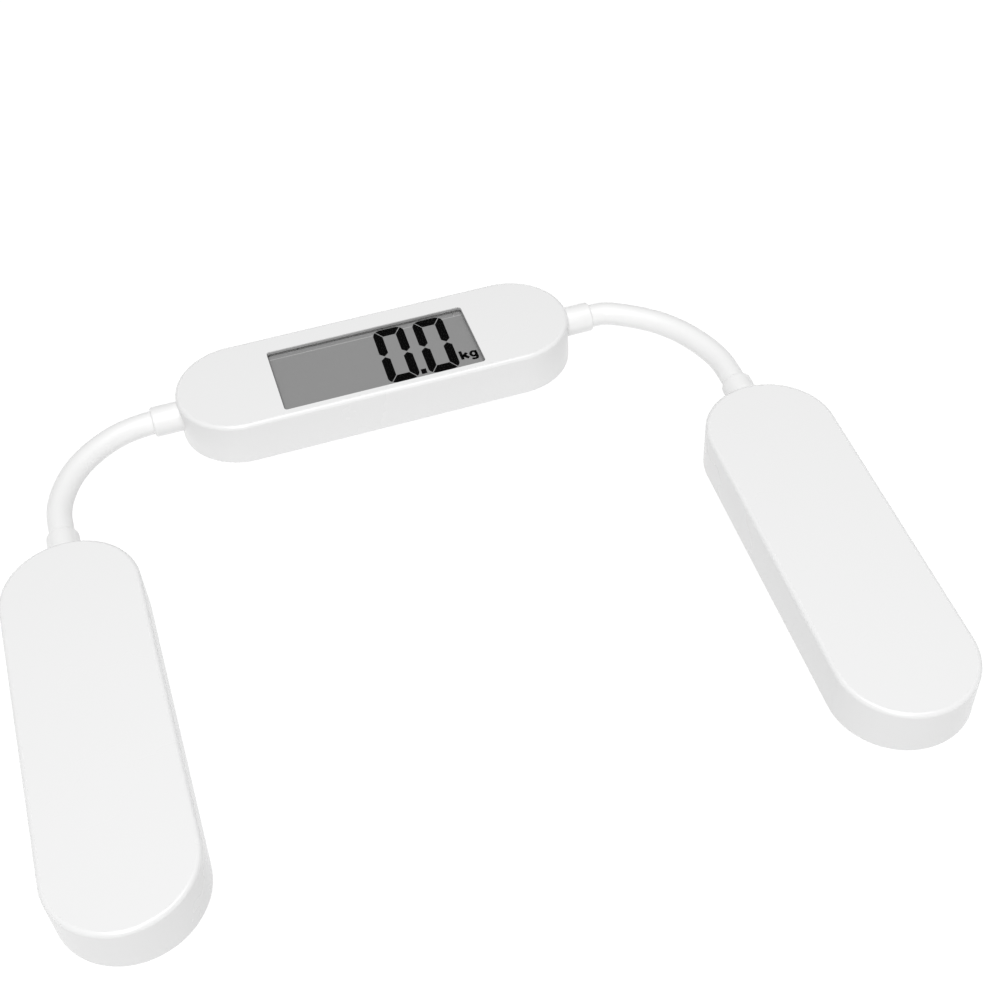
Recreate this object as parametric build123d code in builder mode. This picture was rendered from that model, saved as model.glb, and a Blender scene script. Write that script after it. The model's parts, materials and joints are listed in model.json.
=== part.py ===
from build123d import *
import math
import os

# Folding travel scale, opened on a flat surface. Millimetres, +Z up.
# Origin: on the surface, under the middle of the display module, whose long axis is X.
# Three pill-shaped modules of one size lie on the surface: the display module and two foot bars.
# A foot bar has its own frame: +x points at the end that its hose enters.

# --- Modules ---
module_length = 188.0
module_width = 57.5
module_top = 23.0
ground_gap = 1.0
wall = 2.0
rim_radius = 1.8
lower_edge_radius = 0.5
casing_height = module_top - ground_gap
inner_top = module_top - wall
half_length = module_length / 2

# --- Hoses and their end fittings ---
hose_axis_z = 13.0
hose_radius = 5.4
hose_bore_radius = 3.7
cable_radius = 2.1
collar_radius = 6.95
collar_reach = 12.5
collar_rim_radius = 1.0
socket_depth = 3.0
socket_radius = hose_radius + 0.12
spigot_radius = 4.2
spigot_bore_radius = 2.6
running_gap = 0.08
barb_root_radius = 3.2
barb_tip_radius = 3.62
flange_face = -4.1
flange_thickness = 1.6
flange_width = 20.0
flange_height = 13.4
rib_x = 8.6
rib_thickness = 2.6
rib_below_axis = 3.5
cable_inside = 21.0
rib_height = inner_top - hose_axis_z + rib_below_axis
rib_middle = rib_height / 2 - rib_below_axis

# Each hose leaves the display module along X and turns towards its foot bar:
# straight run, then arcs of radius and angle, then a straight run into the foot bar's collar.
left_run_in = 1.5
left_bends = [(31.0, 12.0), (50.4, 78.9)]
left_run_out = 7.6
right_run_in = 1.5
right_bends = [(20.0, 27.2), (66.2, 65.4)]
right_run_out = 5.4

# --- Display window and panel ---
window_length = 95.2
window_width = 42.0
window_x = -0.6
window_y = -3.5
window_corner = 1.5
window_recess = 1.6
lens_border = 2.0
lens_thickness = 1.2
panel_length = 96.8
panel_width = 43.6
panel_thickness = 2.4
holder_wall = 1.5
holder_length = panel_length + 0.6 + 2 * holder_wall
holder_width = panel_width + 0.4 + 2 * 1.2
reflector_thickness = 0.6

# --- Boards ---
board_bottom = 13.4
board_thickness = 1.6
board_top = board_bottom + board_thickness
board_length = 124.0
board_width = 50.0
board_screw_x = 58.0
board_screw_y = 18.0

# --- Base covers ---
base_bottom = 1.8
base_thickness = 2.0
base_top = base_bottom + base_thickness
base_gap = 0.15
boss_radius = 3.2
display_screw_x = 76.0
display_screw_y = 13.0
foot_screw_x = 80.0
foot_screw_y = 14.0
screw_radius = 1.1
screw_head_radius = 2.1
screw_head_height = 1.2
screw_clearance = 0.15
head_clearance = 0.2
display_pad_radius = 5.0
display_pad_places = [(0, 0), (-60, -18), (-60, 18), (60, -18), (60, 18)]

# --- Battery ---
battery_x = -34.0
battery_y = -2.0
cap_radius = 12.92
cap_hole_radius = 13.0
lug_radius = 15.0
lug_angle = 24.0
cap_turn = 50.0
cell_radius = 10.0
cell_thickness = 3.2
cell_bottom = 5.55
cup_top = 11.2

# --- Unit button and switch ---
button_x = 36.0
button_y = 0.0
button_radius = 4.0
button_hole_radius = 4.08
button_face = 1.5
plunger_radius = 1.7
switch_size = 6.0
switch_bottom = 9.9
plunger_bottom = 8.9

# --- Foot bar interior ---
cell_x = 52.0
plate_length = 160.0
plate_width = 48.0
plate_thickness = 1.6
plate_bottom = 19.3
carrier_size = 38.0
carrier_window = 26.0
load_cell_size = 34.0
load_cell_thickness = 2.0
load_cell_bottom = 12.5
cell_screw_offset = 14.5
pad_radius = 13.0
pad_height = 3.0
pad_hole_radius = 14.0

os.makedirs("parts", exist_ok=True)


def save(part, name):
    part.label = name
    export_step(part, f"parts/{name}.step")


def end_plane(module, side):
    """Plane at a module's end, on the hose axis, with its normal pointing out of the module."""
    outward = module.x_dir * side
    origin = module.origin + outward * half_length + module.z_dir * hose_axis_z
    return Plane(origin=origin, x_dir=module.y_dir * side, z_dir=outward)


def underside(module, height):
    return Plane(origin=module.origin + Vector(0, 0, height), x_dir=module.x_dir, z_dir=(0, 0, -1))


# --- Routes: the centre line of each hose, from the display's socket to the foot bar's ---


def route(side, run_in, bends, run_out):
    """Centre line of a hose from socket floor to socket floor; side is -1 at the left, 1 at the right."""
    start = Vector(side * (half_length + collar_reach - socket_depth), 0, hose_axis_z)
    with BuildLine() as line:
        last = Line(start, start + Vector(side * (run_in + socket_depth), 0, 0))
        for radius, angle in bends:
            last = JernArc(last @ 1, last % 1, radius, -side * angle)
        Line(last @ 1, last @ 1 + (last % 1) * (run_out + socket_depth))
    return line.wire()


def foot_frame(line):
    """Frame of the foot bar that a hose ends in: +x points back along the hose."""
    outward = line % 1
    reach = half_length + collar_reach - socket_depth
    middle = line @ 1 + outward * reach
    return Plane(origin=(middle.X, middle.Y, 0), x_dir=outward * -1, z_dir=(0, 0, 1))


left_route = route(-1, left_run_in, left_bends, left_run_out)
right_route = route(1, right_run_in, right_bends, right_run_out)
display_frame = Plane.XY
left_frame = foot_frame(left_route)
right_frame = foot_frame(right_route)


# --- Parts that the three modules share ---


def casing(module, ends, screw_x, screw_y):
    """Pill-shaped upper casing, open below, with screw bosses and a hole and ribs at each hose end."""
    with BuildPart() as shell:
        with BuildSketch(module.offset(ground_gap)):
            SlotOverall(module_length, module_width)
        extrude(amount=casing_height)
        fillet(shell.faces().sort_by(Axis.Z)[-1].edges(), rim_radius)
        fillet(shell.faces().sort_by(Axis.Z)[0].edges(), lower_edge_radius)
        with BuildSketch(module.offset(ground_gap)):
            SlotOverall(module_length - 2 * wall, module_width - 2 * wall)
        extrude(amount=casing_height - wall, mode=Mode.SUBTRACT)
        with BuildSketch(module.offset(base_top + 0.05)):
            with GridLocations(2 * screw_x, 2 * screw_y, 2, 2):
                Circle(boss_radius)
                Circle(screw_radius + screw_clearance, mode=Mode.SUBTRACT)
        extrude(amount=inner_top - base_top - 0.05)
        for end in ends:
            rib_plane = end.offset(flange_face - flange_thickness - 0.1)
            with BuildSketch(rib_plane):
                with Locations((-rib_x, rib_middle), (rib_x, rib_middle)):
                    Rectangle(rib_thickness, rib_height)
            extrude(amount=-1.6)
            with BuildSketch(end.offset(-6)):
                Circle(collar_radius + 0.1)
            extrude(amount=8, mode=Mode.SUBTRACT)
    return shell.part


def base_cover(module, screw_x, screw_y):
    """Flat cover inside the casing's lower edge, with counterbored screw holes."""
    with BuildPart() as cover:
        with BuildSketch(module.offset(base_bottom)):
            margin = 2 * (wall + base_gap)
            SlotOverall(module_length - margin, module_width - margin)
        extrude(amount=base_thickness)
        with Locations(underside(module, base_bottom)):
            with GridLocations(2 * screw_x, 2 * screw_y, 2, 2):
                CounterBoreHole(
                    screw_radius + screw_clearance,
                    screw_head_radius + head_clearance,
                    screw_head_height + head_clearance,
                )
    return cover.part


def screws(module, spacing_x, spacing_y, head_bottom, tip):
    """Four identical screws, heads down, on a rectangle centred on the module."""
    with BuildPart() as group:
        with BuildSketch(module.offset(head_bottom)):
            with GridLocations(spacing_x, spacing_y, 2, 2):
                Circle(screw_head_radius)
        extrude(amount=screw_head_height)
        with BuildSketch(module.offset(head_bottom + screw_head_height)):
            with GridLocations(spacing_x, spacing_y, 2, 2):
                Circle(screw_radius)
        extrude(amount=tip - head_bottom - screw_head_height)
        with BuildSketch(module.offset(head_bottom)):
            with GridLocations(spacing_x, spacing_y, 2, 2):
                Rectangle(2.6, 0.5)
                Rectangle(0.5, 2.6)
        extrude(amount=0.6, mode=Mode.SUBTRACT)
    return group.part


def collar(end):
    """Sleeve that carries a hose end: a flange inside the casing and a socket for the hose outside."""
    with BuildPart() as sleeve:
        with BuildSketch(end.offset(flange_face - flange_thickness)):
            RectangleRounded(flange_width, flange_height, 2)
        extrude(amount=flange_thickness)
        with BuildSketch(end.offset(flange_face)):
            Circle(collar_radius)
        extrude(amount=collar_reach - flange_face)
        mouth = sleeve.faces().filter_by(GeomType.PLANE).sort_by(Axis(end.origin, end.z_dir))[-1]
        fillet(mouth.edges(), collar_rim_radius)
        with BuildSketch(end.offset(flange_face - flange_thickness)):
            Circle(spigot_radius + running_gap)
        extrude(amount=collar_reach - flange_face + flange_thickness, mode=Mode.SUBTRACT)
        with BuildSketch(end.offset(collar_reach - socket_depth - 0.05)):
            Circle(socket_radius)
        extrude(amount=socket_depth + 0.1, mode=Mode.SUBTRACT)
    return sleeve.part


def nipple(end):
    """Hollow barbed nipple that turns inside a collar and holds the hose from within."""
    head_face = flange_face - flange_thickness - 0.15
    shoulder = collar_reach - socket_depth - 0.1
    with BuildPart() as barb:
        with BuildSketch(Plane(origin=end.origin, x_dir=end.x_dir, z_dir=end.y_dir)):
            with BuildLine():
                # y in this profile runs along the nipple, x is its radius
                Polyline(
                    (spigot_bore_radius, -(head_face - 1.3)),
                    (6.0, -(head_face - 1.3)),
                    (6.0, -head_face),
                    (spigot_radius, -head_face),
                    (spigot_radius, -shoulder),
                    (barb_root_radius, -shoulder),
                    (barb_root_radius, -(shoulder + 3)),
                    (barb_tip_radius, -(shoulder + 3)),
                    (barb_root_radius, -(shoulder + 6)),
                    (barb_tip_radius, -(shoulder + 6)),
                    (barb_root_radius - 0.2, -(shoulder + 9)),
                    (spigot_bore_radius, -(shoulder + 9)),
                    close=True,
                )
            make_face()
        revolve(axis=Axis(end.origin, end.z_dir))
    return barb.part


def tube(line, outer, inner):
    """Round tube along a route, or a solid cable where inner is 0."""
    with BuildPart() as pipe:
        with BuildLine():
            add(line)
        with BuildSketch(Plane(origin=line @ 0, z_dir=line % 0)):
            Circle(outer)
            if inner:
                Circle(inner, mode=Mode.SUBTRACT)
        sweep()
    return pipe.part


def cable(line):
    """Signal cable: the hose's route, carried on straight into the module at each end."""
    extra = collar_reach - socket_depth + cable_inside
    with BuildLine() as longer:
        Line(line @ 0 - (line % 0) * extra, line @ 0)
        add(line)
        Line(line @ 1, line @ 1 + (line % 1) * extra)
    return tube(longer.wire(), cable_radius, 0)


# --- Display module ---

display_ends = [end_plane(display_frame, -1), end_plane(display_frame, 1)]

with BuildPart() as display_casing:
    add(casing(display_frame, display_ends, display_screw_x, display_screw_y))
    with BuildSketch(Plane.XY.offset(inner_top)):
        with Locations((window_x, window_y)):
            RectangleRounded(window_length, window_width, window_corner)
    extrude(amount=wall, mode=Mode.SUBTRACT)
    with BuildSketch(Plane.XY.offset(inner_top)):
        with Locations((window_x, window_y)):
            Rectangle(window_length + 2 * lens_border, window_width + 2 * lens_border)
    extrude(amount=wall - window_recess, mode=Mode.SUBTRACT)
    with BuildSketch(Plane.XY.offset(board_top + 0.05)):
        with GridLocations(2 * board_screw_x, 2 * board_screw_y, 2, 2):
            Circle(2.8)
            Circle(screw_radius + screw_clearance, mode=Mode.SUBTRACT)
    extrude(amount=inner_top - board_top - 0.05)
save(display_casing.part, "display_casing")

lens_top = module_top - window_recess
with BuildPart() as lcd_window:
    with BuildSketch(Plane.XY.offset(lens_top - lens_thickness)):
        with Locations((window_x, window_y)):
            Rectangle(window_length + 2 * lens_border - 0.3, window_width + 2 * lens_border - 0.3)
    extrude(amount=lens_thickness)
save(lcd_window.part, "lcd_window")

# The panel is two glass plates; the lower one is longer at the rear, where the contact strip touches it.
panel_top = lens_top - lens_thickness - 0.1
panel_bottom = panel_top - panel_thickness
with BuildPart() as lcd_panel:
    with BuildSketch(Plane.XY.offset(panel_bottom)):
        with Locations((window_x, window_y)):
            Rectangle(panel_length, panel_width)
    extrude(amount=panel_thickness / 2)
    with BuildSketch(Plane.XY.offset(panel_bottom + panel_thickness / 2)):
        with Locations((window_x, window_y - 1.0)):
            Rectangle(panel_length, panel_width - 2.0)
    extrude(amount=panel_thickness / 2)
save(lcd_panel.part, "lcd_panel")

reflector_top = panel_bottom - 0.05
with BuildPart() as lcd_reflector:
    with BuildSketch(Plane.XY.offset(reflector_top - reflector_thickness)):
        with Locations((window_x, window_y - 2.0)):
            Rectangle(panel_length - 2.0, panel_width - 6.0)
    extrude(amount=reflector_thickness)
save(lcd_reflector.part, "lcd_reflector")

with BuildPart() as lcd_holder:
    with BuildSketch(Plane.XY.offset(board_top)):
        with Locations((window_x, window_y)):
            Rectangle(holder_length, holder_width)
            Rectangle(panel_length + 0.6, panel_width + 0.4, mode=Mode.SUBTRACT)
    extrude(amount=lens_top - lens_thickness - 0.05 - board_top)
save(lcd_holder.part, "lcd_holder")

with BuildPart() as contact_strip:
    with BuildSketch(Plane.XY.offset(board_top)):
        with Locations((window_x, window_y + panel_width / 2 - 1.6)):
            Rectangle(panel_length - 8.0, 2.0)
    extrude(amount=panel_bottom - board_top)
save(contact_strip.part, "contact_strip")

with BuildPart() as main_board:
    with BuildSketch(Plane.XY.offset(board_bottom)):
        RectangleRounded(board_length, board_width, 4)
    extrude(amount=board_thickness)
    with Locations(Plane.XY.offset(board_top)):
        with GridLocations(2 * board_screw_x, 2 * board_screw_y, 2, 2):
            Hole(screw_radius + screw_clearance)
save(main_board.part, "main_board")

with BuildPart() as controller_chip:
    with BuildSketch(Plane.XY.offset(board_bottom - 1.6)):
        with Locations((4, 6)):
            Rectangle(14, 14)
    extrude(amount=1.6)
    chamfer(controller_chip.faces().sort_by(Axis.Z)[0].edges(), 0.3)
save(controller_chip.part, "controller_chip")

board_head_bottom = board_bottom - 0.05 - screw_head_height
board_screws = screws(display_frame, 2 * board_screw_x, 2 * board_screw_y, board_head_bottom, 19.0)
save(board_screws, "board_screws")

with BuildPart() as cable_clamps:
    for side in (-1, 1):
        with BuildSketch(Plane(origin=(side * 75.5, 0, 0), x_dir=(0, 1, 0), z_dir=(1, 0, 0))):
            with Locations((0, 15.4)):
                Rectangle(12, 11)
            with Locations((0, hose_axis_z)):
                Circle(cable_radius + 0.05, mode=Mode.SUBTRACT)
        extrude(amount=2, both=True)
save(cable_clamps.part, "cable_clamps")

# --- Unit button and its switch ---

with BuildPart() as unit_switch:
    with BuildSketch(Plane.XY.offset(switch_bottom)):
        with Locations((button_x, button_y)):
            Rectangle(switch_size, switch_size)
    extrude(amount=board_bottom - switch_bottom)
    with BuildSketch(Plane.XY.offset(switch_bottom)):
        with Locations((button_x, button_y)):
            Circle(plunger_radius + running_gap)
    extrude(amount=2.2, mode=Mode.SUBTRACT)
save(unit_switch.part, "unit_switch")

with BuildPart() as switch_plunger:
    with BuildSketch(Plane.XY.offset(plunger_bottom)):
        with Locations((button_x, button_y)):
            Circle(plunger_radius)
    extrude(amount=2.4)
save(switch_plunger.part, "switch_plunger")

with BuildPart() as unit_button:
    with BuildSketch(Plane.XY.offset(button_face)):
        with Locations((button_x, button_y)):
            Circle(button_radius)
    extrude(amount=base_top + 0.1 - button_face)
    fillet(unit_button.faces().sort_by(Axis.Z)[0].edges(), 0.3)
    with BuildSketch(Plane.XY.offset(base_top + 0.1)):
        with Locations((button_x, button_y)):
            Circle(button_radius + 1.4)
    extrude(amount=1.0)
    with BuildSketch(Plane.XY.offset(base_top + 1.1)):
        with Locations((button_x, button_y)):
            Circle(2.2)
    extrude(amount=plunger_bottom - base_top - 1.1)
save(unit_button.part, "unit_button")

# --- Battery ---

with BuildPart() as battery_cap:
    with BuildSketch(Plane.XY.offset(base_bottom + 0.1)):
        with Locations((battery_x, battery_y)):
            Circle(cap_radius)
    extrude(amount=base_thickness)
    with BuildSketch(Plane.XY.offset(base_top + 0.1)):
        with Locations((battery_x, battery_y)):
            Circle(cap_radius)
            with PolarLocations(lug_radius / 2 + 5, 2):
                Rectangle(lug_radius - 10, 2 * lug_radius * math.sin(math.radians(lug_angle / 2)))
    extrude(amount=1.0)
    with BuildSketch(Plane.XY.offset(base_top + 1.1)):
        with Locations((battery_x, battery_y)):
            Circle(cell_radius - 0.6)
    extrude(amount=cell_bottom - 0.05 - base_top - 1.1)
    with BuildSketch(Plane.XY.offset(base_bottom + 0.1)):
        with Locations((battery_x, battery_y)):
            SlotOverall(18, 2.4)
    extrude(amount=1.0, mode=Mode.SUBTRACT)
save(battery_cap.part, "battery_cap")

with BuildPart() as coin_cell:
    with BuildSketch(Plane.XY.offset(cell_bottom)):
        with Locations((battery_x, battery_y)):
            Circle(cell_radius)
    extrude(amount=cell_thickness)
    fillet(coin_cell.faces().sort_by(Axis.Z)[0].edges(), 0.4)
    chamfer(coin_cell.faces().sort_by(Axis.Z)[-1].edges(), 0.5)
save(coin_cell.part, "coin_cell")

cup_step = 5.5
with BuildPart() as battery_cup:
    with BuildSketch(Plane.XY.offset(base_top)):
        with Locations((battery_x, battery_y)):
            Circle(lug_radius + 2.2)
            Circle(lug_radius + 0.6, mode=Mode.SUBTRACT)
    extrude(amount=cup_step - base_top)
    with BuildSketch(Plane.XY.offset(cup_step)):
        with Locations((battery_x, battery_y)):
            Circle(lug_radius + 2.2)
            Circle(cell_radius + 0.4, mode=Mode.SUBTRACT)
    extrude(amount=cup_top - 1.2 - cup_step)
    with BuildSketch(Plane.XY.offset(cup_top - 1.2)):
        with Locations((battery_x, battery_y)):
            Circle(lug_radius + 2.2)
        with Locations((battery_x - 4, battery_y), (battery_x + cell_radius + 0.2, battery_y)):
            Rectangle(3, 5, mode=Mode.SUBTRACT)
    extrude(amount=1.2)
    with BuildSketch(Plane.XY.offset(cup_step)):
        with Locations((battery_x + cell_radius + 0.7, battery_y)):
            Rectangle(2, 5)
    extrude(amount=cup_top - cup_step, mode=Mode.SUBTRACT)
save(battery_cup.part, "battery_cup")

# Each contact is a bent strip: a leg that reaches the board and, on the negative one, a tongue on the cell.
with BuildPart() as negative_contact:
    with BuildSketch(Plane.XY.offset(cell_bottom + cell_thickness + 0.05)):
        with Locations((battery_x, battery_y)):
            Rectangle(8.8, 4)
    extrude(amount=0.3)
    with BuildSketch(Plane.XY.offset(cell_bottom + cell_thickness + 0.05)):
        with Locations((battery_x - 4.25, battery_y)):
            Rectangle(0.3, 4)
    extrude(amount=board_bottom - cell_bottom - cell_thickness - 0.05)
save(negative_contact.part, "negative_contact")

with BuildPart() as positive_contact:
    with BuildSketch(Plane.XY.offset(cell_bottom + 0.3)):
        with Locations((battery_x + cell_radius + 0.25, battery_y)):
            Rectangle(0.3, 4)
    extrude(amount=board_bottom - cell_bottom - 0.3)
save(positive_contact.part, "positive_contact")

# --- Display base ---

with BuildPart() as display_base:
    add(base_cover(display_frame, display_screw_x, display_screw_y))
    with BuildSketch(Plane.XY.offset(base_bottom)):
        with Locations((battery_x, battery_y)):
            Circle(cap_hole_radius)
            # Entry notches: the cap's lugs pass through here when the cap is turned
            with PolarLocations(lug_radius / 2 + 5, 2, start_angle=cap_turn):
                Rectangle(lug_radius - 9.6, 2 * lug_radius * math.sin(math.radians(lug_angle / 2)) + 0.6)
        with Locations((button_x, button_y)):
            Circle(button_hole_radius)
    extrude(amount=base_thickness, mode=Mode.SUBTRACT)
    with BuildSketch(Plane.XY.offset(base_bottom)):
        with Locations(*display_pad_places):
            Circle(display_pad_radius + 0.1)
    extrude(amount=0.4, mode=Mode.SUBTRACT)
save(display_base.part, "display_base")

with BuildPart() as display_pads:
    with BuildSketch(Plane.XY):
        with Locations(*display_pad_places):
            Circle(display_pad_radius)
    extrude(amount=base_bottom + 0.35)
    fillet(display_pads.faces().filter_by(Axis.Z).group_by(Axis.Z)[0].edges(), 0.4)
save(display_pads.part, "display_pads")

base_head_bottom = base_bottom + 0.1
display_screws = screws(display_frame, 2 * display_screw_x, 2 * display_screw_y, base_head_bottom, 12.0)
save(display_screws, "display_base_screws")


# --- Foot bars ---


def stiffener(module):
    with BuildPart() as plate:
        with BuildSketch(module.offset(plate_bottom)):
            SlotOverall(plate_length, plate_width)
            with Locations((-cell_x, 0), (cell_x, 0)):
                with GridLocations(2 * cell_screw_offset, 2 * cell_screw_offset, 2, 2):
                    Circle(screw_radius + screw_clearance, mode=Mode.SUBTRACT)
        extrude(amount=plate_thickness)
    return plate.part


def load_cell(module, x):
    """Square steel plate with a slotted tongue; its frame is clamped and its tongue takes the foot's load."""
    with BuildPart() as cell:
        with BuildSketch(module.offset(load_cell_bottom)):
            with Locations((x, 0)):
                RectangleRounded(load_cell_size, load_cell_size, 2)
                with GridLocations(2 * cell_screw_offset, 2 * cell_screw_offset, 2, 2):
                    Circle(screw_radius + screw_clearance, mode=Mode.SUBTRACT)
            with Locations((x - 8.5, 0), (x + 8.5, 0)):
                Rectangle(2.2, 22, mode=Mode.SUBTRACT)
            with Locations((x, 10)):
                Rectangle(15, 2.2, mode=Mode.SUBTRACT)
        extrude(amount=load_cell_thickness)
    return cell.part


def carrier(module, x):
    """Plastic frame between the load cell and the stiffener plate."""
    bottom = load_cell_bottom + load_cell_thickness
    with BuildPart() as frame:
        with BuildSketch(module.offset(bottom)):
            with Locations((x, 0)):
                RectangleRounded(carrier_size, carrier_size, 3)
                Rectangle(carrier_window, carrier_window - 2, mode=Mode.SUBTRACT)
                with GridLocations(2 * cell_screw_offset, 2 * cell_screw_offset, 2, 2):
                    Circle(screw_radius + screw_clearance, mode=Mode.SUBTRACT)
        extrude(amount=plate_bottom - bottom)
    return frame.part


def pad_cup(module, x):
    """Rigid cup that carries a rubber pad and pushes on the load cell's tongue."""
    with BuildPart() as cup:
        with BuildSketch(module.offset(pad_height)):
            with Locations((x, 0)):
                Circle(pad_radius)
        extrude(amount=2.0)
        with BuildSketch(module.offset(pad_height + 2.0)):
            with Locations((x, 0)):
                Circle(5.5)
        extrude(amount=load_cell_bottom - pad_height - 2.0)
    return cup.part


def foot_pads(module):
    with BuildPart() as pads:
        with BuildSketch(module):
            with Locations((-cell_x, 0), (cell_x, 0)):
                Circle(pad_radius)
        extrude(amount=pad_height)
        fillet(pads.faces().filter_by(Axis.Z).group_by(Axis.Z)[0].edges(), 0.6)
    return pads.part


def cell_screws(module):
    """Eight identical screws that clamp both load cells and their carriers to the stiffener plate."""
    head_bottom = load_cell_bottom - 0.05 - screw_head_height
    with BuildPart() as group:
        for radius, low, high in (
            (screw_head_radius, head_bottom, head_bottom + screw_head_height),
            (screw_radius, head_bottom + screw_head_height, plate_bottom + plate_thickness),
        ):
            with BuildSketch(module.offset(low)):
                with Locations((-cell_x, 0), (cell_x, 0)):
                    with GridLocations(2 * cell_screw_offset, 2 * cell_screw_offset, 2, 2):
                        Circle(radius)
            extrude(amount=high - low)
    return group.part


def junction_board(module):
    with BuildPart() as board:
        with BuildSketch(module.offset(8.0)):
            RectangleRounded(26, 18, 1.5)
            with Locations((-9, 0), (9, 0)):
                Circle(1.6, mode=Mode.SUBTRACT)
        extrude(amount=1.2)
    return board.part


def foot_base(module):
    with BuildPart() as base:
        add(base_cover(module, foot_screw_x, foot_screw_y))
        with BuildSketch(module.offset(base_bottom)):
            with Locations((-cell_x, 0), (cell_x, 0)):
                Circle(pad_hole_radius)
        extrude(amount=base_thickness, mode=Mode.SUBTRACT)
        # Posts that carry the junction board
        with BuildSketch(module.offset(base_top)):
            with Locations((-9, 0), (9, 0)):
                Circle(2.6)
        extrude(amount=8.0 - base_top)
        with BuildSketch(module.offset(8.0)):
            with Locations((-9, 0), (9, 0)):
                Circle(1.5)
        extrude(amount=2.0)
    return base.part


for side_name, module, line, side in (
    ("left", left_frame, left_route, -1),
    ("right", right_frame, right_route, 1),
):
    display_end = end_plane(display_frame, side)
    foot_end = end_plane(module, 1)
    save(collar(display_end), f"{side_name}_display_collar")
    save(nipple(display_end), f"{side_name}_display_nipple")
    save(tube(line, hose_radius, hose_bore_radius), f"{side_name}_hose")
    save(cable(line), f"{side_name}_cable")
    save(nipple(foot_end), f"{side_name}_foot_nipple")
    save(collar(foot_end), f"{side_name}_foot_collar")
    save(casing(module, [foot_end], foot_screw_x, foot_screw_y), f"{side_name}_tread_casing")
    save(stiffener(module), f"{side_name}_stiffener_plate")
    for place, x in (("front", -cell_x), ("rear", cell_x)):
        save(load_cell(module, x), f"{side_name}_{place}_load_cell")
        save(carrier(module, x), f"{side_name}_{place}_cell_carrier")
        save(pad_cup(module, x), f"{side_name}_{place}_pad_cup")
    save(foot_pads(module), f"{side_name}_foot_pads")
    save(cell_screws(module), f"{side_name}_cell_screws")
    save(junction_board(module), f"{side_name}_junction_board")
    save(foot_base(module), f"{side_name}_foot_base")
    base_screws = screws(module, 2 * foot_screw_x, 2 * foot_screw_y, base_head_bottom, 12.0)
    save(base_screws, f"{side_name}_foot_base_screws")
    print(side_name, "hose length", round(line.length, 2), "foot bar centre", module.origin, module.x_dir)
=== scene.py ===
import json
import math

import bmesh
import bpy
from mathutils import Matrix, Vector


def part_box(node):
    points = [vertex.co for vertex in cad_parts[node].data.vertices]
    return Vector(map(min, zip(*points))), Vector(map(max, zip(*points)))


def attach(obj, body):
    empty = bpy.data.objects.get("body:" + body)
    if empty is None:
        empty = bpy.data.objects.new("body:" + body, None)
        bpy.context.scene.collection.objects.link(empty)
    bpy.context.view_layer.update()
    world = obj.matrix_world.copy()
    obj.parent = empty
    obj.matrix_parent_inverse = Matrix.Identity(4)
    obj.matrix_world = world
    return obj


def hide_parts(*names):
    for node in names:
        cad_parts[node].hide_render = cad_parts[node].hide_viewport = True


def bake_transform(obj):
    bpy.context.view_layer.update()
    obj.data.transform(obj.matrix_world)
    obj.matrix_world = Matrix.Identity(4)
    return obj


MM = 0.001

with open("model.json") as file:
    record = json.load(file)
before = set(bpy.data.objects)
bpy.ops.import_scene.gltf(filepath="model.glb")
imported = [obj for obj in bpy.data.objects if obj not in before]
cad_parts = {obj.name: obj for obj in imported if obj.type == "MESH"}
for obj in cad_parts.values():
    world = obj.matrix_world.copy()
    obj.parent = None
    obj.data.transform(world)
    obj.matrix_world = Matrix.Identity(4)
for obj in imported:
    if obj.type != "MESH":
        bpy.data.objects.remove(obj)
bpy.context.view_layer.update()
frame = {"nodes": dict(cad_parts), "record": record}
nodes = frame["nodes"]

# ---------------------------------------------------------------- camera

CAMERA_TARGET = Vector((28.9, -100.01, 10.6)) * MM
CAMERA_DISTANCE = 653.23 * MM
CAMERA_AZIMUTH = math.radians(15.11)
CAMERA_ELEVATION = math.radians(46.29)
CAMERA_ROLL = math.radians(-3.74)
CAMERA_LENS = 54.39
CAMERA_SENSOR = 36.0
CLIP_NEAR = 0.01
CLIP_FAR = 50


def add_camera():
    """Camera at the distance, heading and tilt above, rolled about its own line of sight."""
    forward = Vector(
        (
            math.sin(CAMERA_AZIMUTH) * math.cos(CAMERA_ELEVATION),
            math.cos(CAMERA_AZIMUTH) * math.cos(CAMERA_ELEVATION),
            -math.sin(CAMERA_ELEVATION),
        )
    )
    level_right = Vector((math.cos(CAMERA_AZIMUTH), -math.sin(CAMERA_AZIMUTH), 0))
    level_up = level_right.cross(forward)
    right = math.cos(CAMERA_ROLL) * level_right + math.sin(CAMERA_ROLL) * level_up
    up = math.cos(CAMERA_ROLL) * level_up - math.sin(CAMERA_ROLL) * level_right
    data = bpy.data.cameras.new("camera")
    data.lens = CAMERA_LENS
    data.sensor_width = CAMERA_SENSOR
    data.clip_start = CLIP_NEAR
    data.clip_end = CLIP_FAR
    camera = bpy.data.objects.new("camera", data)
    turn = Matrix((right, up, -forward)).transposed().to_4x4()
    camera.matrix_world = Matrix.Translation(CAMERA_TARGET - forward * CAMERA_DISTANCE) @ turn
    bpy.context.scene.collection.objects.link(camera)
    bpy.context.scene.camera = camera


add_camera()

# ---------------------------------------------------------------- materials

NOISE_ROUGHNESS = 0.55
NOISE_LOW = 0.3
NOISE_HIGH = 0.7
GRAIN_STRENGTH = 0.35
BRUSH_STRETCH = 0.04
LENS_TINT = 0.94
LENS_INDEX = 1.08
LENS_ROUGH = (0.03, 0.07)


def link(tree, source, output, target, entry):
    """Joins a named output of one shader node to a named or numbered input of another."""
    tree.links.new(source.outputs[output], target.inputs[entry])


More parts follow.
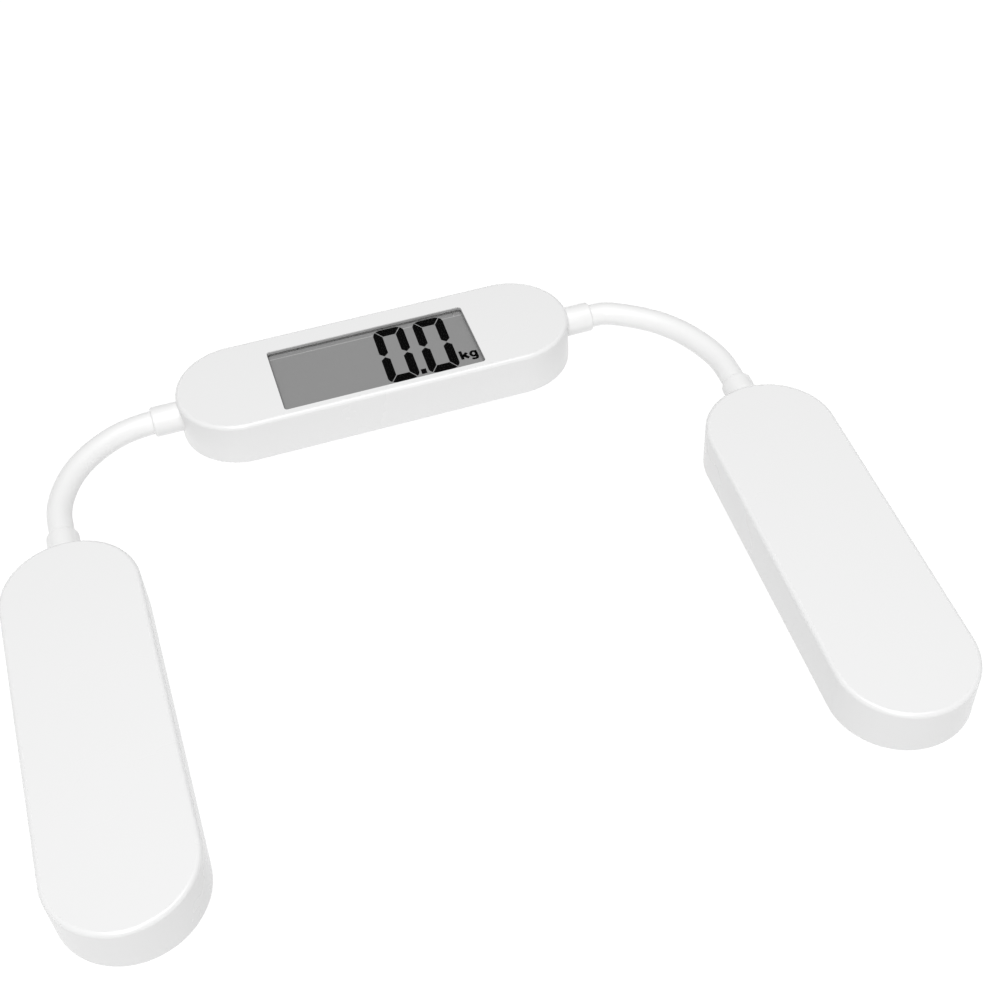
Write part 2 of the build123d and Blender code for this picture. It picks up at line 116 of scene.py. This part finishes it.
def noise(tree, coords, scale, detail):
    """Noise that stays fixed to the piece, with features about 1 / scale metres wide."""
    n = tree.nodes.new("ShaderNodeTexNoise")
    n.inputs["Scale"].default_value = scale
    n.inputs["Detail"].default_value = detail
    n.inputs["Roughness"].default_value = NOISE_ROUGHNESS
    link(tree, coords, "Object", n, "Vector")
    return n


def ranged(tree, source, output, low, high):
    """Maps the usual range of a noise value onto low to high."""
    m = tree.nodes.new("ShaderNodeMapRange")
    m.inputs["From Min"].default_value = NOISE_LOW
    m.inputs["From Max"].default_value = NOISE_HIGH
    m.inputs["To Min"].default_value = low
    m.inputs["To Max"].default_value = high
    link(tree, source, output, m, "Value")
    return m


def surface(name, colour, rough, shade=0.02, grain=2500.0, grain_depth=0.00002, metal=0.0,
            blotch=18.0, rough_spread=0.05, brushed=False, **extra):
    """Principled material with soft colour and gloss variation and a fine moulded or rolled grain."""
    mat = bpy.data.materials.new(name)
    mat.use_nodes = True
    tree = mat.node_tree
    shader = tree.nodes["Principled BSDF"]
    coords = tree.nodes.new("ShaderNodeTexCoord")
    broad = noise(tree, coords, blotch, 4.0)
    ramp = tree.nodes.new("ShaderNodeMix")
    ramp.data_type = "RGBA"
    dark = [max(0.0, c * (1 - shade)) for c in colour]
    light = [min(1.0, c * (1 + shade)) for c in colour]
    ramp.inputs["A"].default_value = (*dark, 1)
    ramp.inputs["B"].default_value = (*light, 1)
    link(tree, broad, "Fac", ramp, "Factor")
    link(tree, ramp, "Result", shader, "Base Color")
    fine = noise(tree, coords, grain, 2.0)
    if brushed:
        stretch = tree.nodes.new("ShaderNodeMapping")
        stretch.inputs["Scale"].default_value = (BRUSH_STRETCH, 1.0, 1.0)
        link(tree, coords, "Object", stretch, "Vector")
        link(tree, stretch, "Vector", fine, "Vector")
    gloss = ranged(tree, broad, "Fac", max(0.02, rough - rough_spread), min(1.0, rough + rough_spread))
    link(tree, gloss, "Result", shader, "Roughness")
    bump = tree.nodes.new("ShaderNodeBump")
    bump.inputs["Strength"].default_value = GRAIN_STRENGTH
    bump.inputs["Distance"].default_value = grain_depth
    link(tree, fine, "Fac", bump, "Height")
    link(tree, bump, "Normal", shader, "Normal")
    shader.inputs["Metallic"].default_value = metal
    for key, value in extra.items():
        shader.inputs[key.replace("_", " ")].default_value = value
    return mat


def clear_lens(name):
    """Clear window: what lies behind shows through, with a gloss that grows at low angles."""
    mat = bpy.data.materials.new(name)
    mat.use_nodes = True
    tree = mat.node_tree
    tree.nodes.clear()
    out = tree.nodes.new("ShaderNodeOutputMaterial")
    see = tree.nodes.new("ShaderNodeBsdfTransparent")
    see.inputs["Color"].default_value = (LENS_TINT, LENS_TINT, LENS_TINT, 1)
    gloss = tree.nodes.new("ShaderNodeBsdfGlossy")
    gloss.inputs["Color"].default_value = (1, 1, 1, 1)
    coords = tree.nodes.new("ShaderNodeTexCoord")
    wave = noise(tree, coords, 60.0, 2.0)
    rough = ranged(tree, wave, "Fac", *LENS_ROUGH)
    link(tree, rough, "Result", gloss, "Roughness")
    fresnel = tree.nodes.new("ShaderNodeFresnel")
    fresnel.inputs["IOR"].default_value = LENS_INDEX
    face = tree.nodes.new("ShaderNodeNewGeometry")
    outer = tree.nodes.new("ShaderNodeMath")
    outer.operation = "SUBTRACT"
    outer.inputs[0].default_value = 1.0
    link(tree, face, "Backfacing", outer, 1)
    amount = tree.nodes.new("ShaderNodeMath")
    amount.operation = "MULTIPLY"
    link(tree, fresnel, "Fac", amount, 0)
    link(tree, outer, "Value", amount, 1)
    mix = tree.nodes.new("ShaderNodeMixShader")
    link(tree, amount, "Value", mix, "Fac")
    tree.links.new(see.outputs["BSDF"], mix.inputs[1])
    tree.links.new(gloss.outputs["BSDF"], mix.inputs[2])
    tree.links.new(mix.outputs["Shader"], out.inputs["Surface"])
    return mat


materials = {
    "casing_white": surface("casing_white", (0.79, 0.79, 0.79), 0.27, shade=0.004, grain=1800,
                            grain_depth=0.000006, rough_spread=0.015, Specular_IOR_Level=0.5),
    "base_white": surface("base_white", (0.74, 0.74, 0.74), 0.55, shade=0.015, grain=2400,
                          grain_depth=0.00005),
    "hose_white": surface("hose_white", (0.82, 0.82, 0.818), 0.42, shade=0.008, grain=1200,
                          grain_depth=0.00002),
    "collar_white": surface("collar_white", (0.81, 0.81, 0.808), 0.35, shade=0.006, grain=1500,
                            grain_depth=0.00001),
    "cable_grey": surface("cable_grey", (0.32, 0.32, 0.33), 0.5, shade=0.05),
    "inner_plastic": surface("inner_plastic", (0.66, 0.66, 0.65), 0.5, shade=0.03),
    "window_lens": clear_lens("window_lens"),
    "lcd_glass": surface("lcd_glass", (0.52, 0.52, 0.52), 0.3, shade=0.03, grain=900,
                         grain_depth=0.000004),
    "reflector_film": surface("reflector_film", (0.5, 0.5, 0.5), 0.4, shade=0.03),
    "contact_rubber": surface("contact_rubber", (0.03, 0.03, 0.03), 0.6, shade=0.3, blotch=400),
    "circuit_board": surface("circuit_board", (0.01, 0.09, 0.035), 0.4, shade=0.25, blotch=120),
    "chip_black": surface("chip_black", (0.02, 0.02, 0.02), 0.55, shade=0.2),
    "zinc_steel": surface("zinc_steel", (0.62, 0.63, 0.65), 0.3, shade=0.06, metal=1.0, grain=900),
    "spring_steel": surface("spring_steel", (0.5, 0.5, 0.52), 0.35, shade=0.08, metal=1.0,
                            grain=1500, brushed=True),
    "contact_metal": surface("contact_metal", (0.7, 0.68, 0.62), 0.22, shade=0.05, metal=1.0),
    "cell_steel": surface("cell_steel", (0.66, 0.66, 0.67), 0.25, shade=0.05, metal=1.0,
                          grain=1500, brushed=True),
    "pad_rubber": surface("pad_rubber", (0.62, 0.62, 0.61), 0.75, shade=0.03, grain=1600,
                          grain_depth=0.00008),
    "segment_black": surface("segment_black", (0.004, 0.004, 0.004), 0.5, shade=0.1,
                             Specular_IOR_Level=0.0),
    # The next grey is painted shade, put on the white wall of the window's opening where only shade
    # falls.
    "painted_shade_grey": surface("painted_shade_grey", (0.43, 0.43, 0.43), 0.45, shade=0.05),
    "polariser": surface("polariser", (0.33, 0.33, 0.33), 0.35, shade=0.006, grain=1500,
                         grain_depth=0.000002, blotch=30, rough_spread=0.01),
}

slots = {row["node"]: row["material_slot"] for row in frame["record"]["subparts"]}
for node, obj in nodes.items():
    finish = "collar_white" if node.endswith("_collar") else slots[node]
    obj.data.materials.clear()
    obj.data.materials.append(materials[finish])

# ---------------------------------------------------------------- mesh helpers


def add_piece(name, mesh, material, body=None):
    """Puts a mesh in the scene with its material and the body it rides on."""
    obj = bpy.data.objects.new(name, mesh)
    bpy.context.scene.collection.objects.link(obj)
    obj.data.materials.append(materials[material])
    if body:
        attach(obj, body)
    return obj


def prism(name, outlines, low, high):
    """Closed mesh: each flat outline, a list of (x, y) in mm, raised from height low to high."""
    bm = bmesh.new()
    for outline in outlines:
        count = len(outline)
        bottom = [bm.verts.new((x * MM, y * MM, low * MM)) for x, y in outline]
        top = [bm.verts.new((x * MM, y * MM, high * MM)) for x, y in outline]
        bm.faces.new(top)
        bm.faces.new(bottom[::-1])
        for i in range(count):
            j = (i + 1) % count
            bm.faces.new((bottom[i], bottom[j], top[j], top[i]))
    bmesh.ops.recalc_face_normals(bm, faces=bm.faces)
    mesh = bpy.data.meshes.new(name)
    bm.to_mesh(mesh)
    bm.free()
    return mesh


# ---------------------------------------------------------------- hoses and their cables

HOSE_AXIS_Z = 13.0
MOUTH_X = 106.5
HOSE_RADIUS = 5.4
CABLE_RADIUS = 2.1
TUBE_SIDES = 40
RING_SPACING = 1.0
CURVE_STEPS = 64

# Points along the hoses, in mm: (out from the mouth of the display's collar, forward to the foot bars)
LEFT_LINE = [(-3.0, 0.0), (9.0, 0.0), (25.09, 6.9), (39.48, 20.22), (47.88, 39.72), (47.75, 57.87),
             (47.69, 61.37)]
RIGHT_LINE = [(-3.0, 0.0), (0.5, 0.0), (10.3, 0.69), (33.91, 18.93), (46.68, 47.37), (46.29, 68.99),
              (46.13, 72.49)]
CABLE_REACH = 30.5
RIGHT_BAR_LEAN = 0.045
LEFT_SPLIT = 33.4


def place(side, u, v):
    """The place of one of these points, with side -1 for the left hose and 1 for the right one."""
    return Vector((side * (MOUTH_X + u), -v, HOSE_AXIS_Z)) * MM


def centre_line(side, control):
    """Dense points along the smooth line that has these control points."""
    curve = bpy.data.curves.new("line", "CURVE")
    curve.dimensions = "3D"
    spline = curve.splines.new("NURBS")
    spline.points.add(len(control) - 1)
    for point, (u, v) in zip(spline.points, control):
        point.co = (*place(side, u, v), 1)
    spline.order_u = 3
    spline.use_endpoint_u = True
    spline.resolution_u = CURVE_STEPS
    holder = bpy.data.objects.new("line", curve)
    mesh = bpy.data.meshes.new_from_object(holder)
    points = [v.co.copy() for v in mesh.vertices]
    bpy.data.objects.remove(holder)
    bpy.data.curves.remove(curve)
    bpy.data.meshes.remove(mesh)
    return points


def evenly(points, first, last):
    """Points at even spacing between two lengths along the line, in mm from the collar's mouth."""
    along = [0.0]
    for a, b in zip(points, points[1:]):
        along.append(along[-1] + (b - a).length)
    nearest = min(range(len(points)), key=lambda i: abs(abs(points[i].x) - MOUTH_X * MM))
    zero = along[nearest]
    first = along[0] if first is None else zero + first * MM
    last = along[-1] if last is None else zero + last * MM
    count = max(2, round((last - first) / (RING_SPACING * MM)))
    found = []
    i = 0
    for k in range(count + 1):
        wanted = first + (last - first) * k / count
        while i < len(along) - 2 and along[i + 1] < wanted:
            i += 1
        share = (wanted - along[i]) / (along[i + 1] - along[i])
        found.append(points[i].lerp(points[i + 1], share))
    return found


def tube(name, points, radius, material):
    """Closed round tube round a line that lies level."""
    bm = bmesh.new()
    rings = []
    for i, p in enumerate(points):
        tangent = (points[min(i + 1, len(points) - 1)] - points[max(i - 1, 0)]).normalized()
        across = Vector((0, 0, 1)).cross(tangent).normalized()
        ring = []
        for k in range(TUBE_SIDES):
            turn = 2 * math.pi * k / TUBE_SIDES
            offset = across * math.cos(turn) + Vector((0, 0, 1)) * math.sin(turn)
            ring.append(bm.verts.new(p + offset * radius * MM))
        rings.append(ring)
    for a, b in zip(rings, rings[1:]):
        for k in range(TUBE_SIDES):
            j = (k + 1) % TUBE_SIDES
            face = bm.faces.new((a[k], a[j], b[j], b[k]))
            face.smooth = True
    for end in (rings[0][::-1], rings[-1]):
        cap = bm.faces.new(end)
        for edge in cap.edges:
            edge.smooth = False
    bmesh.ops.recalc_face_normals(bm, faces=bm.faces)
    mesh = bpy.data.meshes.new(name)
    bm.to_mesh(mesh)
    bm.free()
    return add_piece(name, mesh, material)


def bent(obj):
    """Bakes the placement of a hose piece into its mesh."""
    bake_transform(obj)


def add_hoses(kind, radius, material, reach):
    """The left and right hose, or the cables inside them, as fixed tubes; the matching parts from
    model.glb are hidden.
    """
    left = [(LEFT_LINE[0][0] - reach, 0.0)] + LEFT_LINE[1:-1]
    left.append((LEFT_LINE[-1][0], LEFT_LINE[-1][1] + reach))
    right = [(RIGHT_LINE[0][0] - reach, 0.0)] + RIGHT_LINE[1:-1]
    right.append((RIGHT_LINE[-1][0] - reach * RIGHT_BAR_LEAN, RIGHT_LINE[-1][1] + reach))
    line = centre_line(-1, left)
    near, far = evenly(line, None, LEFT_SPLIT), evenly(line, LEFT_SPLIT, None)
    first = tube(f"left_{kind}_display_end", near, radius, material)
    second = tube(f"left_{kind}_foot_end", far, radius, material)
    bent(first)
    bent(second)
    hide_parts(f"left_{kind}")
    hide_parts(f"left_{kind}")
    line = evenly(centre_line(1, right), None, None)
    whole = tube(f"right_{kind}_bent", line, radius, material)
    bent(whole)
    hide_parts(f"right_{kind}")


add_hoses("hose", HOSE_RADIUS, "hose_white", 0.0)
add_hoses("cable", CABLE_RADIUS, "cable_grey", CABLE_REACH)

# ---------------------------------------------------------------- liquid crystal display

GLASS_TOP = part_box("lcd_panel")[1].z / MM
SHEET = 0.03
SLANT = 0.03
DIGIT_HALF_WIDTH = 7.5
DIGIT_HALF_HEIGHT = 19.3
UPRIGHT_STROKE = 4.25
LEVEL_STROKE = 4.9
CORNER_RADIUS = 4.0
CORNER_CUT = 52.0
TIP_HEIGHT = 2.0
CORNER_STEPS = 6
GAP = 0.2
MITRE_GAP = 1.6 * GAP
MIDDLE_GAP = 0.3
DIGIT_MIDDLE_Y = -1.9
DIGIT_MIDDLES_X = (9.6, 29.0)
POINT_HALF_SIZE = (1.25, 1.7)
POINT_MIDDLE = (18.7, -18.2)
LETTERS_X = 37.5
LETTERS_Y = -16.8
LETTER_STROKE = 1.3
BOWL_MIDDLE = (6.35, 2.45)
BOWL_HALF_SIZE = (1.32, 1.66)
BOWL_STEPS = 24
JOINT_OVERLAP = 0.25
LENS_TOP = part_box("lcd_window")[1].z / MM
WINDOW = (95.2, 42.0)
WINDOW_MIDDLE = (-0.6, -3.5)
WINDOW_CORNER = 1.5
# Grey strip of painted shade on the wall of the window's opening: its thickness, bottom and top.
PAINTED_SHADE_DEPTH = 0.08
PAINTED_SHADE_BOTTOM = LENS_TOP + 0.02
PAINTED_SHADE_TOP = LENS_TOP + 1.2


def rectangle(x_low, y_low, x_high, y_high):
    """Outline of a plain rectangle between two corners."""
    return [(x_low, y_low), (x_high, y_low), (x_high, y_high), (x_low, y_high)]


def add_film(name, outlines, low, material):
    """Thin film over the glass of the display."""
    add_piece(name, prism(name, outlines, low, low + SHEET), material, "display")


def segments_of_zero():
    """Outlines of the six lit segments of a 0, upright, centred on (0, 0)."""
    w, h, s, t, r = DIGIT_HALF_WIDTH, DIGIT_HALF_HEIGHT, UPRIGHT_STROKE, LEVEL_STROKE, CORNER_RADIUS
    cut = math.radians(CORNER_CUT)

    def corner(start, stop):
        angles = [start + (stop - start) * i / CORNER_STEPS for i in range(CORNER_STEPS + 1)]
        return [(w - r + r * math.cos(a), h - r + r * math.sin(a)) for a in angles]

    upright = [(w - s, MIDDLE_GAP + TIP_HEIGHT), (w - s / 2, MIDDLE_GAP), (w, MIDDLE_GAP + TIP_HEIGHT)]
    upright += corner(0.0, cut - GAP / r)
    upright.append((w - s, h - t - MITRE_GAP))
    right_half = corner(cut + GAP / r, math.pi / 2)
    level = right_half + [(-x, y) for x, y in reversed(right_half)]
    level += [(-w + s + MITRE_GAP, h - t), (w - s - MITRE_GAP, h - t)]
    found = []
    for flip_y in (1, -1):
        found.append([(x, y * flip_y) for x, y in level])
        for flip_x in (1, -1):
            found.append([(x * flip_x, y * flip_y) for x, y in upright])
    return found


def slanted(outline, middle_x, middle_y):
    """The outline moved to its place and leaning slightly to the right, as the figures do."""
    return [(middle_x + x + SLANT * y, middle_y + y) for x, y in outline]


def add_digits():
    """Two figures 0 and the decimal point between them."""
    low = GLASS_TOP + SHEET
    for name, middle in zip(("digit_tens", "digit_units"), DIGIT_MIDDLES_X):
        outlines = [slanted(o, middle, DIGIT_MIDDLE_Y) for o in segments_of_zero()]
        add_film(name, outlines, low, "segment_black")
    half_x, half_y = POINT_HALF_SIZE
    point = slanted(rectangle(-half_x, -half_y, half_x, half_y), *POINT_MIDDLE)
    add_film("decimal_point", [point], low, "segment_black")


def stroke(line, width):
    """Outlines of the short bars that make up a stroke along a line of points."""
    found = []
    for a, b in zip(line, line[1:]):
        ahead = Vector((b[0] - a[0], b[1] - a[1])).normalized() * width / 2
        side = Vector((-ahead.y, ahead.x))
        start = Vector(a) - ahead * JOINT_OVERLAP
        end = Vector(b) + ahead * JOINT_OVERLAP
        found.append([tuple(p) for p in (start - side, end - side, end + side, start + side)])
    return found


def add_unit_letters():
    """The letters kg in plain bold strokes, with their baseline at y = 0 before they are placed."""
    bowl = []
    for i in range(BOWL_STEPS + 1):
        turn = 2 * math.pi * i / BOWL_STEPS
        x = BOWL_MIDDLE[0] + BOWL_HALF_SIZE[0] * math.cos(turn)
        y = BOWL_MIDDLE[1] + BOWL_HALF_SIZE[1] * math.sin(turn)
        bowl.append((x, y))
    hook = [(7.62, 4.3), (7.62, 0.2), (7.5, -0.5), (7.1, -0.98), (6.4, -1.15), (5.6, -1.08)]
    hook.append((5.0, -0.75))
    outlines = [rectangle(-0.1, 0.0, 1.35, 6.1)]
    outlines += stroke([(1.0, 1.9), (3.3, 4.0)], 1.5)
    outlines += stroke([(1.9, 2.6), (3.5, 0.45)], 1.6)
    outlines += stroke(bowl, LETTER_STROKE) + stroke(hook, LETTER_STROKE)
    placed = [[(LETTERS_X + x, LETTERS_Y + y) for x, y in outline] for outline in outlines]
    add_film("unit_letters", placed, GLASS_TOP + SHEET, "segment_black")


def add_window_painted_shade_strip():
    """Painted shade: grey strip round the wall of the window's opening, just above the lens, standing
    in for the shade along that wall.
    """
    half_x, half_y, radius = WINDOW[0] / 2, WINDOW[1] / 2, WINDOW_CORNER
    line = []
    for quarter in range(4):
        side_x = 1 if quarter in (0, 3) else -1
        side_y = 1 if quarter in (0, 1) else -1
        for i in range(7):
            turn = math.pi / 2 * (quarter + i / 6)
            x = side_x * (half_x - radius) + radius * math.cos(turn)
            y = side_y * (half_y - radius) + radius * math.sin(turn)
            line.append((x, y))
    line.append(line[0])
    inside = [(x * (1 - PAINTED_SHADE_DEPTH / half_x), y * (1 - PAINTED_SHADE_DEPTH / half_y)) for x, y in line]
    outlines = []
    for i in range(len(line) - 1):
        ring = (line[i], line[i + 1], inside[i + 1], inside[i])
        outlines.append([(x + WINDOW_MIDDLE[0], y + WINDOW_MIDDLE[1]) for x, y in ring])
    mesh = prism("window_painted_shade_strip", outlines, PAINTED_SHADE_BOTTOM, PAINTED_SHADE_TOP)
    add_piece("window_painted_shade_strip", mesh, "painted_shade_grey", "display")


def add_polariser_and_painted_light_lines():
    """Thin film over the glass, with a narrow bare line near its rear edge and rear right corner;
    these bare lines let the lighter glass show through as painted light lines, standing in for the
    reflection of the window's wall.
    """
    # The gaps between these rectangles are painted light lines for the reflection of the window's
    # wall.
    outlines = [
        rectangle(-48.9, -25.2, 47.6, 14.6),
        rectangle(-48.9, 15.1, 42.8, 18.1),
        rectangle(43.2, 15.1, 47.6, 18.1),
    ]
    add_film("lcd_polariser_and_painted_light_lines", outlines, GLASS_TOP, "polariser")


add_polariser_and_painted_light_lines()
add_digits()
add_unit_letters()
# Grey strip of painted shade on the wall of the window's opening.
add_window_painted_shade_strip()

# ---------------------------------------------------------------- floor and light

FLOOR_HALF_SIZE = 15.0
FLOOR_Z = -47.5
FLOOR_GLOW = 0.96
SKY_STRENGTH = 0.28


def add_floor():
    """Pale lit floor, low enough for the folded bars to hang under the display without reaching it."""
    bm = bmesh.new()
    bmesh.ops.create_grid(bm, x_segments=8, y_segments=8, size=FLOOR_HALF_SIZE)
    mesh = bpy.data.meshes.new("floor")
    bm.to_mesh(mesh)
    bm.free()
    floor = bpy.data.objects.new("floor", mesh)
    floor.location.z = FLOOR_Z * MM
    bpy.context.scene.collection.objects.link(floor)
    white = surface("floor_white", (0.08, 0.08, 0.08), 0.8, shade=0.003)
    shader = white.node_tree.nodes["Principled BSDF"]
    shader.inputs["Emission Color"].default_value = (1, 1, 1, 1)
    shader.inputs["Emission Strength"].default_value = FLOOR_GLOW
    floor.data.materials.append(white)


def add_area(name, spot, aim, size, power):
    """Rectangular lamp at one point, turned to face another; metres and watts."""
    data = bpy.data.lights.new(name, "AREA")
    data.shape = "RECTANGLE"
    data.size, data.size_y = size
    data.energy = power
    lamp = bpy.data.objects.new(name, data)
    lamp.location = spot
    lamp.rotation_mode = "QUATERNION"
    lamp.rotation_quaternion = (Vector(aim) - Vector(spot)).to_track_quat("-Z", "Y")
    bpy.context.scene.collection.objects.link(lamp)


add_floor()
add_area("key", (-0.7, -2.0, 2.3), (0, -0.1, 0), (0.7, 0.7), 34.0)
add_area("top", (0.0, -0.3, 1.7), (0, -0.1, 0), (1.4, 0.6), 18.8)
world = bpy.data.worlds.new("studio")
world.use_nodes = True
sky = world.node_tree.nodes["Background"]
sky.inputs["Color"].default_value = (1, 1, 1, 1)
sky.inputs["Strength"].default_value = SKY_STRENGTH
bpy.context.scene.world = world
bpy.context.scene.view_settings.view_transform = "Standard"
